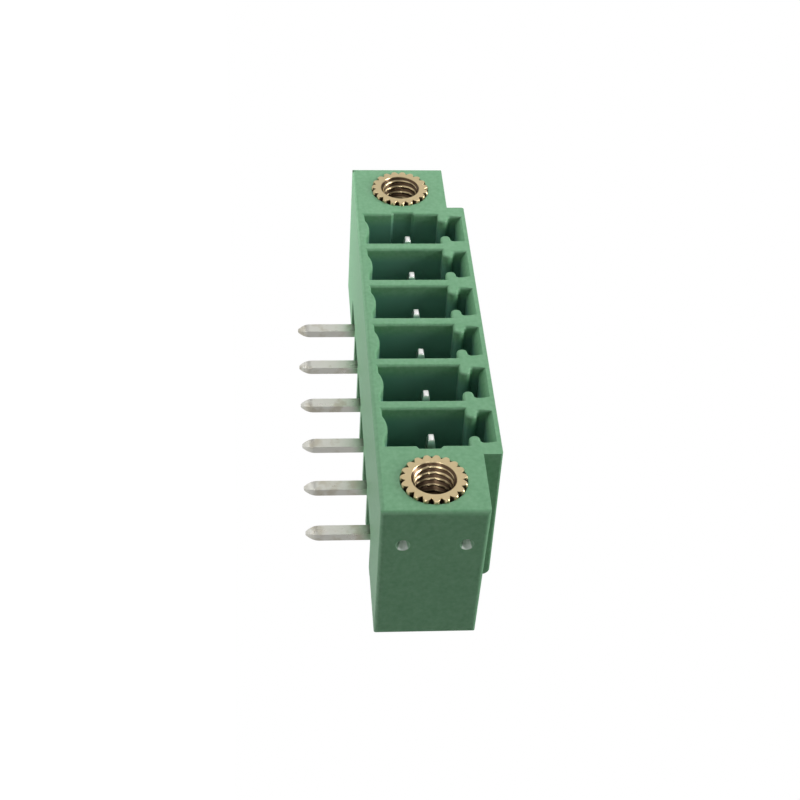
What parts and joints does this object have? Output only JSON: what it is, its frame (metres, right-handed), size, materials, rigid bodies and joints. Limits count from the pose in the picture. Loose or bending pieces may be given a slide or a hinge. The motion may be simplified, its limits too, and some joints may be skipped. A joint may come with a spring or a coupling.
{
  "type": "pcb terminal block header",
  "caption": "Right-angled board header for a pluggable terminal block, green housing with bent contact pins and threaded brass inserts in its end flanges.",
  "frame": {"origin": "on the board's surface, in the middle of the row of solder pins", "axes": "+X along the row, -Y towards the plug that is pushed in, +Z away from the board"},
  "size_m": [0.0328, 0.01, 0.0108],
  "materials": {
    "housing": "satin moulded green",
    "contact": "matt tin plating on brass wire",
    "insert": "machined, slightly dull"
  },
  "bodies": {
    "root": {"housing": "housing", "contact_pin_1": "contact", "contact_pin_2": "contact", "contact_pin_3": "contact", "contact_pin_4": "contact", "contact_pin_5": "contact", "contact_pin_6": "contact", "insert_left": "insert", "insert_right": "insert"}
  },
  "joints": []
}
